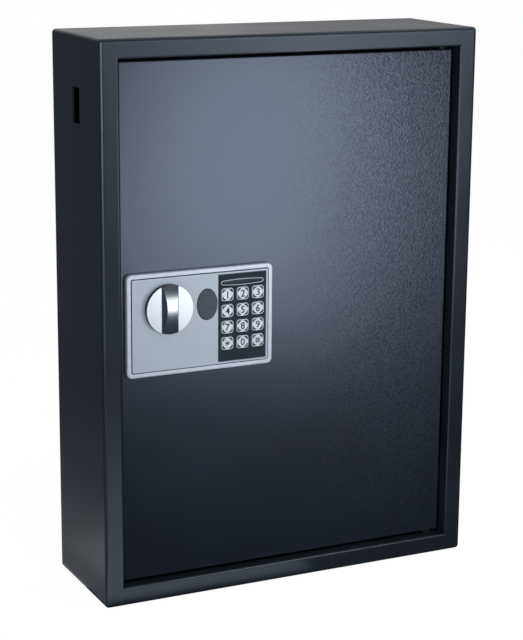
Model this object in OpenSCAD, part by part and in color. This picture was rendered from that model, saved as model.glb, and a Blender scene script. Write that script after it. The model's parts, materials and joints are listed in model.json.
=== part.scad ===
// Wall key cabinet with an electronic lock on its door.
// Millimetres. X to the right, Y from the front to the wall, Z up.
// The origin is the centre of the four wall holes, on the back face.

/* [Cabinet] */
// Overall width
cab_w = 365; // [340:1:440]
// Overall height
cab_h = 500; // [490:1:640]
// Depth from the wall to the front flange
cab_d = 115; // [110:1:160]
// Sheet thickness of the walls and the back
sheet = 1.5; // [1:0.1:2]
// Outside radius of the folded edges
bend_r = 3.5; // [2.5:0.5:5]
// Width of the front flange
flange_w = 17; // [15:1:24]
// Depth of the lip that turns in from the flange, beside the door
lip_d = 13; // [12:0.5:15]
// Radius where the flange turns into the lip
mouth_r = 2; // [1:0.5:3]
// Gap round the back panel
panel_gap = 0.2; // [0.1:0.05:0.4]

/* [Wall fixing] */
// Diameter of the wall holes
wall_hole_d = 8; // [6:0.5:10]
// Distance between the wall holes across
wall_hole_pitch_x = 280; // [200:5:300]
// Distance between the wall holes up
wall_hole_pitch_z = 430; // [426:1:440]

/* [Return slot] */
// Width of the key-return slot, front to back
slot_w = 17; // [10:1:24]
// Height of the key-return slot
slot_h = 31; // [20:1:45]
// Distance from the top of the cabinet to the slot
slot_from_top = 45; // [30:1:80]

/* [Key rails] */
// Number of hooks on a rail
hook_count = 10; // [4:1:10]
// Distance between hooks
hook_pitch = 32; // [24:1:33]
// Distance between rails
rail_pitch = 60; // [50:1:62]
// Length of a rail
rail_l = 322; // [320:1:330]
// Height of a rail
rail_h = 18; // [14:1:24]
// Thickness of a rail
rail_t = 1.5; // [1:0.1:2]
// Diameter of a hook
hook_d = 3; // [2:0.5:4]
// Length of a hook in front of its collar
hook_l = 20; // [12:1:24]
// Upward tilt of a hook, in degrees
hook_tilt = 15; // [5:1:30]
// Diameter of the ball at the end of a hook
hook_ball_d = 4.8; // [4.2:0.2:6]
// Diameter of a hook's collar
collar_d = 7; // [6:0.5:9]
// Thickness of a hook's collar
collar_t = 1; // [0.8:0.1:1.5]
// Diameter of a rail rivet's head
rivet_d = 6; // [5:0.5:7]

/* [Door] */
// Gap between the door and the lip
door_gap = 2.5; // [2:0.1:3.5]
// How far the door lies behind the front flange
door_recess = 10; // [8:0.5:11]
// Sheet thickness of the door
door_sheet = 2; // [1.5:0.1:2.5]
// Depth of the folded edges of the door
door_return = 12; // [11:0.5:13]
// Diameter of the hinge pins
hinge_pin_d = 6; // [5:0.5:7]
// Outside diameter of the hinge washers
hinge_washer_d = 11; // [9:0.5:12]
// Thickness of the hinge brackets
bracket_t = 3; // [2:0.5:4]
// Room left for the door's edge as it swings past the lip
swing_room = 0.5; // [0.4:0.1:0.8]

/* [Lock panel] */
// Width of the lock panel
panel_w = 139.5; // [136:0.5:142]
// Height of the lock panel
panel_h = 92; // [90:0.5:100]
// Distance from the door's left edge to the lock panel
panel_edge = 4.5; // [4:0.5:8]
// Height of the lock panel's centre above the door's centre
panel_up = 2.5; // [0:0.5:6]
// Corner radius of the lock panel
panel_r = 5; // [5:0.5:9]
// Height of the raised rim above the door
rim_h = 4.4; // [4.3:0.1:7]
// Width of the raised rim
rim_w = 4; // [3:0.5:4.5]
// Groove between the rim and the face plate
groove_w = 0.8; // [0.6:0.1:1.5]
// Thickness of the moulded base of the panel
slab_t = 3.8; // [3.6:0.1:4.2]
// Thickness of the silver face plate
face_t = 1.4; // [1:0.1:1.6]

/* [Knob] */
// Diameter of the knob
knob_d = 43.5; // [36:0.5:46]
// Thickness of the knob's disc
knob_disc_t = 5; // [4:0.5:7]
// Rise of the grip above the disc
grip_rise = 5.8; // [4.5:0.1:9]
// Width of the grip where it leaves the disc
grip_root_w = 16; // [14:0.5:20]
// Width of the grip along its crest
grip_crest_w = 9.5; // [7:0.5:12]
// Gap to the left of the knob: it and the next one share the room that the rest of the panel leaves
knob_left = 11.5; // [8:0.25:16]
// Gap between the knob and the oval cover
knob_right = 6.1; // [2:0.05:8]
// Height of the knob and the override lock above the panel's centre
knob_up = 14; // [12:0.5:16]
// Diameter of the spindle
spindle_d = 8; // [6:0.5:10]
// Radius of the crank pin's circle
crank_r = 9; // [8.5:0.1:9.5]
// Diameter of the crank pin
crank_pin_d = 6; // [5:0.5:6.5]
// Thickness of the crank
crank_t = 3; // [2.5:0.5:4]

/* [Override lock] */
// Width of the oval cover
cover_w = 19; // [18:0.5:20]
// Height of the oval cover
cover_h = 27.7; // [24:0.1:30]
// Thickness of the oval cover
cover_t = 1.8; // [1.6:0.1:2.2]
// Gap between the oval cover and the keypad plate
override_right = 1.5; // [1:0.1:3]
// Diameter of the lock cylinder
cylinder_d = 16; // [14:0.5:16]
// Diameter of the turning plug
plug_d = 11; // [9:0.5:12]
// Length of the cam on the plug, from the plug's axis
cam_l = 15; // [12:0.5:16]

/* [Keypad] */
// Width of the keypad plate
pad_w = 46; // [45:0.1:48]
// Height of the keypad plate
pad_h = 78.4; // [76:0.1:79]
// Thickness of the keypad plate
pad_t = 1.2; // [0.8:0.1:1.3]
// Gap between the keypad plate and the right edge of the face plate
pad_right = 2.3; // [1.5:0.1:4]
// Side of a key
key_side = 11.5; // [10:0.1:12.4]
// Corner radius of a key
key_r = 2.6; // [1:0.1:4]
// Distance between keys across
key_pitch_x = 14.8; // [14:0.1:15]
// Distance between keys up
key_pitch_z = 14.7; // [14:0.1:15]
// Height of a key in front of the face plate
key_rise = 1.2; // [1.1:0.1:2]
// How far a key goes in
key_travel = 1; // [0.5:0.1:1]
// Height of the second row of keys above the panel's centre
key_row_up = 6.5; // [6:0.5:8]
// Width of the indicator window
lens_w = 42; // [30:0.5:42]
// Height of the indicator window
lens_h = 4.8; // [4:0.2:6.4]
// Height of the indicator window above the panel's centre
lens_up = 31.6; // [31.6:0.1:33]
// Thickness of the circuit board
board_t = 1.6; // [1:0.1:1.8]

/* [Bolts] */
// Diameter of the locking bolts
bolt_d = 10; // [8:0.5:12]
// Distance between the locking bolts
bolt_pitch = 52; // [48:1:56]
// Thickness of the strike plate
strike_t = 2.5; // [2:0.5:3]
// Length of the strike plate
strike_l = 120; // [100:5:160]
// Thickness of the bolt carriage
carriage_t = 3; // [2.5:0.5:4]
// Width of the bar that holds the bolts
bar_w = 8; // [6:0.5:10]

/* [Lock case] */
// Thickness of the lock's base plate
base_t = 1.5; // [1.2:0.1:2]
// Thickness of the base plate's end flange, which guides the bolts
guide_t = 3; // [2:0.5:3.5]
// Depth of the lock case behind the base plate
case_d = 36.5; // [36:0.5:40]
// Wall of the lock case
case_wall = 2; // [1.6:0.1:2.5]
// Side of the solenoid body
solenoid_w = 20; // [18:0.5:22]
// Height of the solenoid body
solenoid_h = 26; // [26:0.5:34]
// Diameter of the solenoid plunger
plunger_d = 8; // [6:0.5:9]
// How far the plunger lifts
plunger_lift = 4; // [3:0.5:4]
// Diameter of a battery cell
cell_d = 14.2; // [13.8:0.1:14.5]
// Length of a battery cell without its cap
cell_l = 49.2; // [48:0.1:50]
// Diameter of the reset button
button_d = 6; // [5:0.5:8]
// Diameter of the small screws
screw_d = 3; // [2.5:0.1:3.5]
// Diameter of the small screws' heads
screw_head_d = 5.6; // [5:0.1:6]

/* [Fits] */
// Radial clearance of a turning or sliding fit
run_fit = 0.05; // [0.03:0.01:0.1]
// Radial clearance of a fixed pin in its hole
fixed_fit = 0.02; // [0.01:0.01:0.05]
// Clearance between faces that slide past each other
face_gap = 0.3; // [0.3:0.05:0.5]
// Clearance round screws and pieces that drop into a recess
drop_gap = 0.2; // [0.1:0.05:0.3]

/* [Hidden] */
$fn = 64;
past = 1;

// Opening of the cabinet and the door in it
open_w = cab_w - 2 * flange_w;
open_h = cab_h - 2 * flange_w;
door_w = open_w - 2 * door_gap;
door_h = open_h - 2 * door_gap;
door_left = -door_w / 2;
wall_in_x = cab_w / 2 - sheet;
lip_back = -cab_d + lip_d;
door_front = -cab_d + door_recess;
door_back = door_front + door_sheet;
door_rear = door_front + door_return;

// Hinge axis: behind the lip, and far enough from the door's edge to swing clear of the lip
hinge_set = lip_d - door_recess + hinge_pin_d / 2 + swing_room;
swing_gap = door_gap - swing_room;
hinge_inset = (hinge_set * hinge_set - swing_gap * swing_gap) / (2 * swing_gap);
hinge_x = door_w / 2 - hinge_inset;
hinge_y = door_front + hinge_set;
hinge_seat_z = open_h / 2 + sheet;

// Rows of key rails
rail_rows = 7;
rail_front = -sheet - rail_t;
rail_hole_d = hook_d + 2 * run_fit;
rivet_x = rail_l / 2 - rivet_d / 2 - 1;
rivet_shank_d = rivet_d / 2;
rivet_t = 1;

// Layers of the lock panel, counted forwards from the door
panel_x = door_left + panel_edge + panel_w / 2;
rim_front = door_front - rim_h;
slab_front = door_front - slab_t;
face_front = slab_front - face_t;
pad_front = slab_front - pad_t;
face_w = panel_w - 2 * (rim_w + groove_w);
face_h = panel_h - 2 * (rim_w + groove_w);

// Keypad: window in the panel's base, and a larger one for the board in the door
pad_x = panel_x + face_w / 2 - pad_right - pad_w / 2;
pad_ledge = 1.2;
pad_open_w = pad_w - 2 * pad_ledge;
pad_open_h = pad_h - 2 * pad_ledge;
board_w = pad_w + 1;
board_h = pad_h + 0.6;
window_w = board_w + 4 * drop_gap;
window_h = board_h + 4 * drop_gap;
key_names = ["1", "2", "3", "4", "5", "6", "7", "8", "9", "star", "0", "hash"];
key_front = face_front - key_rise;
key_flange_t = 0.8;
key_flange_front = slab_front + face_gap;
key_flange_side = key_side + 1.4;
pad_dome_front = key_flange_front + key_flange_t + key_travel + face_gap;
membrane_t = 0.6;
dome_d = 5;
lens_bow = 0.8;
led_d = 3;
led_pitch = 10;

// Oval cover beside the keypad, and the knob in the room that is left
override_x = pad_x - pad_w / 2 - override_right - cover_w / 2;
knob_room = override_x - cover_w / 2 - (panel_x - face_w / 2) - knob_d;
knob_x = panel_x - face_w / 2 + knob_room * knob_left / (knob_left + knob_right) + knob_d / 2;

// Knob, spindle and crank
knob_back = face_front - face_gap;
disc_front = knob_back - knob_disc_t;
knob_front = disc_front - grip_rise;
knob_bore = knob_disc_t + grip_rise / 2;
arc_r = (knob_d * knob_d / 4 + grip_rise * grip_rise) / (2 * grip_rise);
crank_hub_d = spindle_d + 8;
crank_eye_r = crank_pin_d / 2 + 2;
crank_reach = crank_r + crank_eye_r;

// Layers of the lock behind the door
base_back = door_back + base_t;
crank_front = base_back + face_gap;
crank_back = crank_front + crank_t;
carriage_front = crank_back + face_gap;
carriage_back = carriage_front + carriage_t;
case_back = base_back + case_d;
case_inner = case_back - case_wall;

// A quarter turn, half to each side of upright, moves the crank pin and the bolts this far
half_turn = 45;
stroke = 2 * crank_r * sin(half_turn);
pin_x = knob_x + crank_r * sin(half_turn);
pin_low = knob_up + crank_r * cos(half_turn);
pin_high = knob_up + crank_r;
pin_side_gap = 0.4;

// Strike plate and bolts: the bolts pass behind the strike plate
strike_back = lip_back + strike_t;
bolt_y = strike_back + 0.5 + bolt_d / 2;
bolt_tip = door_left + 0.5;
guide_left = door_left + door_sheet + 2.5;
guide_right = guide_left + guide_t;
bar_left = guide_right + stroke + 0.6;
bar_right = bar_left + bar_w;
bar_back = max(carriage_back, bolt_y + bolt_d / 2);

// Posts that the carriage slides on
post_d = crank_pin_d;
post_foot_d = post_d + 3;
post_head_d = post_d + 4;
post_head_t = 2;
post_x = bar_right + post_head_d / 2 + 3;
post_rise = crank_reach + post_foot_d / 2 + 0.5;
post_z = [knob_up + post_rise, knob_up - post_rise];
post_slot_h = post_d + 2 * face_gap;

// Carriage with a shelf on top, which the solenoid's plunger stands over
carriage_top = post_z[0] + post_slot_h / 2 + 6;
carriage_low = -bolt_pitch / 2 - bolt_d / 2 - 3;
shelf_t = 3;
plunger_x = knob_x - 2.5;
plunger_y = base_back + solenoid_w / 2;
plunger_hole_d = plunger_d + 1;
carriage_right = stroke + 3 + max(plunger_x + plunger_hole_d / 2, post_x + post_slot_h / 2);
shelf_back = plunger_y + plunger_hole_d / 2 + 2.5;
plunger_low = carriage_top + face_gap;
plunger_l = solenoid_h;
solenoid_low = carriage_top + plunger_lift + 2;
solenoid_top = solenoid_low + solenoid_h;

// Lock case
case_right = panel_x + panel_w / 2 + 4;
case_low = -panel_h / 2 - 6;
case_top = solenoid_top + 2 + case_wall;
boss_d = screw_d + 5;
boss_in = boss_d / 2 + case_wall - 0.5;
screw_hole_d = screw_d + drop_gap;
screw_head_t = 2;
case_screws = [for (x = [guide_right + boss_in, case_right - boss_in],
    z = [case_low + boss_in, case_top - boss_in]) [x, z]];
panel_screw_in = rim_w - 0.9;
panel_screw_z = panel_h / 2 - 12;
panel_screws = [for (x = [bar_left - stroke + bar_w / 2, panel_x + panel_w / 2 - panel_screw_in],
    z = [-panel_screw_z, panel_screw_z]) [x, z]];

// Override lock
cover_front = slab_front - face_gap - cover_t;
cylinder_head_d = cylinder_d + 2;
cylinder_head_t = 1.5;
cylinder_back = base_back + 9;
nut_d = cylinder_d + 9;
nut_t = crank_t + face_gap;
cam_t = 2;
cam_w = 7;
keyway_w = 1.6;
keyway_h = 7;
keyway_d = 12;

// Batteries stand side by side in a tray against the back wall of the case
cell_count = 4;
cell_pitch = cell_d + 0.6;
tray_wall = 1.5;
cell_cap_d = 5.5;
cell_cap_l = 1;
tray_w = cell_count * cell_pitch + 2 * tray_wall;
tray_h = cell_l + cell_cap_l + 1 + 2 * tray_wall;
tray_d = cell_d + tray_wall + 1.5;
tray_x = case_right - case_wall - 1 - tray_w / 2;
tray_z = (case_low + panel_h / 2) / 2;
tray_front = case_inner - tray_d;
hatch_w = tray_w - 2 * tray_wall + 1;
hatch_h = tray_h - 2 * tray_wall + 1;
hatch_gap = 0.3;

// Reset button in the back wall of the case
button_x = knob_x;
button_z = case_low + boss_in + 14;
button_flange_d = button_d + 3;
button_travel = 1.5;
button_out = 1.8;

// Shapes used by several pieces

module block(low, high) {
    translate(low) cube(high - low);
}

// The lock and its panel, drawn about the panel's centre, raised to their place on the door
module lifted() {
    translate([0, 0, panel_up]) children();
}

// A flat outline in X and Z, given depth from y0 to y1
module sheet_y(y0, y1) {
    translate([0, y1, 0]) rotate([90, 0, 0]) linear_extrude(y1 - y0) children();
}

module rod_y(d, y0, y1) {
    sheet_y(y0, y1) circle(d = d);
}

module rod_x(d, x0, x1) {
    translate([x0, 0, 0]) rotate([0, 90, 0]) cylinder(d = d, h = x1 - x0);
}

module round_rect(w, h, r) {
    square([w, h - 2 * r], center = true);
    square([w - 2 * r, h], center = true);
    for (x = [-1, 1], z = [-1, 1])
        translate([x * (w / 2 - r), z * (h / 2 - r)]) circle(r);
}

// A straight slot along X, centred, with round ends
module slot_outline(l, h) {
    square([l - h, h], center = true);
    for (x = [-1, 1])
        translate([x * (l - h) / 2, 0]) circle(d = h);
}

module oval(w, h) {
    steps = 60;
    polygon([for (i = [0 : steps - 1]) [w / 2 * cos(360 * i / steps), h / 2 * sin(360 * i / steps)]]);
}

// A slot along X whose long edges bow out a little
module bowed_slot(w, h, bow) {
    reach = (w - h) / 2;
    r = (reach * reach + bow * bow) / (2 * bow);
    intersection() {
        slot_outline(w, h);
        translate([0, h / 2 - r]) circle(r, $fn = 256);
        translate([0, r - h / 2]) circle(r, $fn = 256);
    }
}

// The cabinet's outside: round edges along the sides and the front, round corners where they meet
module folded_box() {
    x = cab_w / 2 - bend_r;
    z = cab_h / 2 - bend_r;
    sheet_y(bend_r - cab_d, 0) round_rect(cab_w, cab_h, bend_r);
    sheet_y(-cab_d, bend_r - cab_d) square([2 * x, 2 * z], center = true);
    translate([0, bend_r - cab_d, 0]) {
        for (side = [-1, 1]) {
            translate([side * x, 0, 0]) cylinder(r = bend_r, h = 2 * z, center = true);
            translate([-x, 0, side * z]) rod_x(2 * bend_r, 0, 2 * x);
        }
        for (side_x = [-1, 1], side_z = [-1, 1])
            translate([side_x * x, 0, side_z * z]) sphere(bend_r);
    }
}

// Outline of the opening across one direction: straight sides that flare at the front edge
module mouth_profile(width) {
    depth = lip_d + past;
    translate([0, depth / 2 - cab_d]) square([width, depth], center = true);
    difference() {
        translate([0, -cab_d]) square([width + 2 * mouth_r, 2 * mouth_r], center = true);
        for (x = [-1, 1])
            translate([x * (width / 2 + mouth_r), mouth_r - cab_d]) circle(mouth_r);
    }
}

// A profile in X and Y run up along Z, and one in Z and Y run across along X
module along_z(length) {
    linear_extrude(length, center = true) children();
}

module along_x(length) {
    rotate([0, 90, 0]) linear_extrude(length, center = true) children();
}

// Cabinet

module cabinet_shell() {
    slot_z = cab_h / 2 - slot_from_top - slot_h / 2;
    color("#3a4048") difference() {
        folded_box();
        difference() {
            sheet_y(-cab_d + sheet, past) round_rect(cab_w - 2 * sheet, cab_h - 2 * sheet, bend_r - sheet);
            sheet_y(-cab_d, lip_back) square([open_w + 2 * sheet, open_h + 2 * sheet], center = true);
        }
        intersection() {
            along_z(cab_h) mouth_profile(open_w);
            along_x(cab_w) mouth_profile(open_h);
        }
        translate([-cab_w / 2 - past, -(cab_d + slot_w) / 2, slot_z - slot_h / 2])
            cube([sheet + 2 * past, slot_w, slot_h]);
    }
}

module back_panel() {
    panel_gap_w = 2 * (sheet + panel_gap);
    color("#3a4048") difference() {
        sheet_y(-sheet, 0) round_rect(cab_w - panel_gap_w, cab_h - panel_gap_w, bend_r);
        for (x = [-1, 1], z = [-1, 1])
            translate([x * wall_hole_pitch_x / 2, 0, z * wall_hole_pitch_z / 2])
                rod_y(wall_hole_d, -sheet - past, past);
    }
}

module strike_plate() {
    color("#9aa0a6")
        block([-wall_in_x, lip_back, -strike_l / 2], [-open_w / 2, strike_back, strike_l / 2]);
}

// Plate on the hidden side of the lip, bored for the hinge pin
module upper_hinge_bracket() {
    length = wall_in_x - hinge_x + hinge_washer_d;
    color("#9aa0a6") difference() {
        block([wall_in_x - length, -cab_d + sheet, hinge_seat_z],
              [wall_in_x, hinge_y + hinge_washer_d, hinge_seat_z + bracket_t]);
        translate([hinge_x, hinge_y, hinge_seat_z - past])
            cylinder(d = hinge_pin_d + 2 * run_fit, h = bracket_t + 2 * past);
    }
}

module lower_hinge_bracket() {
    mirror([0, 0, 1]) upper_hinge_bracket();
}

module hook() {
    color("#b9bec4") union() {
        rod_y(hook_d, rail_front - run_fit - collar_t, -sheet - run_fit);
        rod_y(collar_d, rail_front - run_fit - collar_t, rail_front - run_fit);
        translate([0, rail_front - run_fit - collar_t, 0]) rotate([90 - hook_tilt, 0, 0]) {
            cylinder(d = hook_d, h = hook_l);
            translate([0, 0, hook_l]) sphere(d = hook_ball_d);
        }
    }
}

// One strip with its hooks, counted from the top
module key_rail(row) {
    z = ((rail_rows + 1) / 2 - row) * rail_pitch;
    hook_x = [for (i = [0 : hook_count - 1]) (i - (hook_count - 1) / 2) * hook_pitch];
    translate([0, 0, z]) {
        color("#8d949b") difference() {
            sheet_y(rail_front, -sheet) square([rail_l, rail_h], center = true);
            for (x = hook_x)
                translate([x, 0, 0]) rod_y(rail_hole_d, rail_front - past, -sheet + past);
            for (side = [-1, 1])
                translate([side * rivet_x, 0, 0])
                    rod_y(rivet_shank_d + 2 * run_fit, rail_front - past, -sheet + past);
        }
        for (x = hook_x)
            translate([x, 0, 0]) hook();
    }
}

module rail_rivets() {
    color("#b9bec4")
    for (row = [1 : rail_rows], side = [-1, 1])
        translate([side * rivet_x, 0, ((rail_rows + 1) / 2 - row) * rail_pitch]) {
            rod_y(rivet_d, rail_front - rivet_t, rail_front);
            rod_y(rivet_shank_d, rail_front, -sheet);
        }
}

// Door

module door_panel() {
    notch_h = bolt_d + 1;
    color("#4a525c") difference() {
        sheet_y(door_front, door_rear) square([door_w, door_h], center = true);
        sheet_y(door_back, door_rear + past)
            square([door_w - 2 * door_sheet, door_h - 2 * door_sheet], center = true);
        for (z = [-1, 1])
            translate([door_left - past, bolt_y - notch_h / 2, panel_up + z * bolt_pitch / 2 - notch_h / 2])
                cube([door_sheet + 2 * past, door_rear - bolt_y + notch_h, notch_h]);
        translate([hinge_x, hinge_y, 0])
            cylinder(d = hinge_pin_d + 2 * fixed_fit, h = door_h + past, center = true);
        lifted() lock_holes(door_front - past, door_back + past, crank_hub_d);
    }
}

// Holes through the door and the base plate for what the panel and the lock share
module lock_holes(y0, y1, spindle_hole_d) {
    translate([knob_x, 0, knob_up]) rod_y(spindle_hole_d, y0, y1);
    translate([override_x, 0, knob_up]) rod_y(cylinder_d + drop_gap, y0, y1);
    translate([pad_x, 0, 0]) sheet_y(y0, y1) square([window_w, window_h], center = true);
    for (at = panel_screws)
        translate([at[0], 0, at[1]]) rod_y(screw_hole_d, y0, y1);
}

module upper_hinge_pin() {
    tail = door_sheet + 2;
    color("#2c3036") translate([hinge_x, hinge_y, door_h / 2 - tail])
        cylinder(d = hinge_pin_d, h = hinge_seat_z + bracket_t + 1 - door_h / 2 + tail);
}

module lower_hinge_pin() {
    mirror([0, 0, 1]) upper_hinge_pin();
}

// Washers between the folded edges of the door and the lip
module hinge_washers() {
    thick = door_gap - face_gap;
    color("#2c3036")
    for (side = [0, 1])
        mirror([0, 0, side]) translate([hinge_x, hinge_y, door_h / 2]) difference() {
            cylinder(d = hinge_washer_d, h = thick);
            translate([0, 0, -past]) cylinder(d = hinge_pin_d + 2 * fixed_fit, h = thick + 2 * past);
        }
}

// Lock panel on the front of the door

module lock_bezel() {
    rim_r = panel_r - rim_w + groove_w;
    color("#c5c9d0") difference() {
        translate([panel_x, 0, 0]) difference() {
            sheet_y(rim_front, door_front) round_rect(panel_w, panel_h, panel_r);
            sheet_y(rim_front - past, slab_front)
                round_rect(panel_w - 2 * rim_w, panel_h - 2 * rim_w, rim_r);
        }
        translate([knob_x, 0, knob_up]) rod_y(spindle_d + 2, slab_front - past, door_front + past);
        translate([override_x, 0, knob_up]) {
            rod_y(cylinder_d + drop_gap, slab_front - past, door_front + past);
            rod_y(cylinder_head_d + drop_gap, slab_front - past, slab_front + cylinder_head_t);
        }
        translate([pad_x, 0, 0]) sheet_y(slab_front - past, door_front + past)
            square([pad_open_w, pad_open_h], center = true);
        for (at = panel_screws)
            translate([at[0], 0, at[1]]) rod_y(screw_hole_d, slab_front + 1, door_front + past);
    }
}

module face_plate() {
    color("#a9b4bf") difference() {
        translate([panel_x, 0, 0]) sheet_y(face_front, slab_front)
            round_rect(face_w, face_h, panel_r - rim_w);
        translate([knob_x, 0, knob_up]) rod_y(spindle_d + 4, face_front - past, slab_front + past);
        translate([override_x, 0, knob_up]) sheet_y(face_front - past, slab_front + past)
            oval(cover_w + 2 * face_gap, cover_h + 2 * face_gap);
        translate([pad_x, 0, 0]) sheet_y(face_front - past, slab_front + past)
            square([pad_w + 2 * drop_gap, pad_h + 2 * drop_gap], center = true);
    }
}

// Centre of a key in X and Z, in rows of three from the top left
function key_at(i) = [pad_x + (i % 3 - 1) * key_pitch_x, key_row_up + (1 - floor(i / 3)) * key_pitch_z];

module keypad_plate() {
    key_hole = key_side + 2 * face_gap;
    color("#2a3138") difference() {
        translate([pad_x, 0, 0]) sheet_y(pad_front, slab_front) square([pad_w, pad_h], center = true);
        for (i = [0 : len(key_names) - 1])
            translate([key_at(i)[0], 0, key_at(i)[1]]) sheet_y(pad_front - past, slab_front + past)
                round_rect(key_hole, key_hole, key_r);
        translate([pad_x, 0, lens_up]) sheet_y(pad_front - past, slab_front + past)
            bowed_slot(lens_w + 2 * drop_gap, lens_h + 2 * drop_gap, lens_bow);
    }
}

module key_cap(i) {
    color("#c0c6cf") translate([key_at(i)[0], 0, key_at(i)[1]]) {
        sheet_y(key_front, key_flange_front) round_rect(key_side, key_side, key_r);
        sheet_y(key_flange_front, key_flange_front + key_flange_t)
            square(key_flange_side, center = true);
    }
}

module indicator_lens() {
    color("#20262c") translate([pad_x, 0, lens_up])
        sheet_y(pad_front - drop_gap, slab_front) bowed_slot(lens_w, lens_h, lens_bow);
}

module indicator_leds() {
    dome_y = slab_front + led_d / 2 + face_gap;
    color("#5a6068")
    for (i = [-1, 0, 1])
        translate([pad_x + i * led_pitch, 0, lens_up]) {
            rod_y(led_d, dome_y, door_front);
            translate([0, dome_y, 0]) sphere(d = led_d);
        }
}

// Rubber sheet on the board, with one contact dome under each key
module keypad_membrane() {
    low = key_at(len(key_names) - 1)[1] - key_side / 2;
    high = key_at(0)[1] + key_side / 2;
    width = 2 * key_pitch_x + key_side;
    color("#d8dade") {
        block([pad_x - width / 2, door_front - membrane_t, low], [pad_x + width / 2, door_front, high]);
        for (i = [0 : len(key_names) - 1])
            translate([key_at(i)[0], 0, key_at(i)[1]])
                rod_y(dome_d, pad_dome_front, door_front - membrane_t);
    }
}

module keypad_board() {
    color("#2f5d46") translate([pad_x, 0, 0])
        sheet_y(door_front, door_front + board_t) square([board_w, board_h], center = true);
}

module bezel_screws() {
    color("#b9bec4")
    for (at = panel_screws)
        translate([at[0], 0, at[1]]) {
            rod_y(screw_d, slab_front + 1.5, base_back);
            rod_y(screw_head_d, base_back, base_back + screw_head_t);
        }
}

// Knob: a disc with a grip whose sides lean in and whose crest is an arc
module turn_knob() {
    color("#d5dae0") translate([knob_x, 0, knob_up]) difference() {
        union() {
            rod_y(knob_d, disc_front, knob_back);
            intersection() {
                rod_y(knob_d, knob_front - past, knob_back);
                translate([0, knob_front + arc_r, 0]) rotate([0, 90, 0])
                    cylinder(r = arc_r, h = knob_d, center = true, $fn = 128);
                along_z(knob_d) polygon([
                    [-grip_root_w / 2, disc_front + knob_disc_t / 2],
                    [-grip_root_w / 2, disc_front],
                    [-grip_crest_w / 2, knob_front],
                    [grip_crest_w / 2, knob_front],
                    [grip_root_w / 2, disc_front],
                    [grip_root_w / 2, disc_front + knob_disc_t / 2]]);
            }
        }
        rod_y(spindle_d + 2 * fixed_fit, knob_back - knob_bore, knob_back + past);
    }
}

module knob_spindle() {
    color("#9aa0a6") translate([knob_x, 0, knob_up]) rod_y(spindle_d, knob_back - knob_bore, crank_back);
}

module crank() {
    arm_w = 2 * crank_eye_r - 1;
    color("#9aa0a6") difference() {
        union() {
            translate([knob_x, 0, knob_up]) {
                rod_y(crank_hub_d, crank_front, crank_back);
                rotate([0, half_turn, 0]) sheet_y(crank_front, crank_back)
                    translate([-arm_w / 2, 0]) square([arm_w, crank_r]);
            }
            translate([pin_x, 0, pin_low]) {
                rod_y(2 * crank_eye_r, crank_front, crank_back);
                rod_y(crank_pin_d, crank_back, carriage_back + face_gap);
            }
        }
        translate([knob_x, 0, knob_up])
            rod_y(spindle_d + 2 * fixed_fit, crank_front - past, crank_back + past);
    }
}

// Bolt work behind the door

module bolt_carriage() {
    slot_l = stroke + post_slot_h;
    pin_w = crank_pin_d + 2 * pin_side_gap;
    pin_z0 = pin_low - crank_pin_d / 2 - pin_side_gap;
    pin_z1 = pin_high + crank_pin_d / 2 + pin_side_gap;
    color("#9aa0a6") difference() {
        union() {
            block([bar_left, carriage_front, carriage_low], [carriage_right, carriage_back, carriage_top]);
            block([bar_left, carriage_front, carriage_low], [bar_right, bar_back, carriage_top - shelf_t]);
            block([bar_left, carriage_front, carriage_top - shelf_t],
                  [carriage_right, shelf_back, carriage_top]);
        }
        for (z = post_z)
            translate([post_x + stroke / 2, 0, z])
                sheet_y(carriage_front - past, carriage_back + past) slot_outline(slot_l, post_slot_h);
        block([pin_x - pin_w / 2, carriage_front - past, pin_z0],
              [pin_x + pin_w / 2, carriage_back + past, pin_z1]);
        translate([plunger_x + stroke, plunger_y, carriage_top - shelf_t - past])
            cylinder(d = plunger_hole_d, h = shelf_t + 2 * past);
    }
}

module locking_bolts() {
    color("#b9bec4")
    for (side = [-1, 1])
        translate([0, bolt_y, side * bolt_pitch / 2]) rod_x(bolt_d, bolt_tip, bar_left);
}

module guide_posts() {
    color("#b9bec4")
    for (z = post_z)
        translate([post_x, 0, z]) {
            rod_y(post_foot_d, base_back, carriage_front - face_gap);
            rod_y(post_d, carriage_front - face_gap, carriage_back + face_gap);
            rod_y(post_head_d, carriage_back + face_gap, carriage_back + face_gap + post_head_t);
        }
}

// Override lock

module override_cover() {
    color("#4a525c") translate([override_x, 0, knob_up])
        sheet_y(cover_front, cover_front + cover_t) oval(cover_w, cover_h);
}

module override_cylinder() {
    color("#c8b070") translate([override_x, 0, knob_up]) difference() {
        union() {
            rod_y(cylinder_head_d, slab_front, slab_front + cylinder_head_t);
            rod_y(cylinder_d, slab_front, cylinder_back);
        }
        rod_y(plug_d + 2 * run_fit, slab_front - past, cylinder_back + past);
    }
}

module override_plug() {
    cam_front = cylinder_back + face_gap;
    color("#d8c48a") translate([override_x, 0, knob_up]) difference() {
        union() {
            rod_y(plug_d, slab_front + drop_gap, cam_front);
            sheet_y(cam_front, cam_front + cam_t) {
                circle(d = plug_d);
                translate([-cam_w / 2, -cam_l]) square([cam_w, cam_l]);
            }
        }
        sheet_y(slab_front, slab_front + drop_gap + keyway_d) square([keyway_w, keyway_h], center = true);
    }
}

module cylinder_nut() {
    color("#b9bec4") translate([override_x, 0, knob_up]) difference() {
        sheet_y(base_back, base_back + nut_t) circle(d = nut_d, $fn = 6);
        rod_y(cylinder_d + 2 * fixed_fit, base_back - past, base_back + nut_t + past);
    }
}

// Lock case

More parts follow.
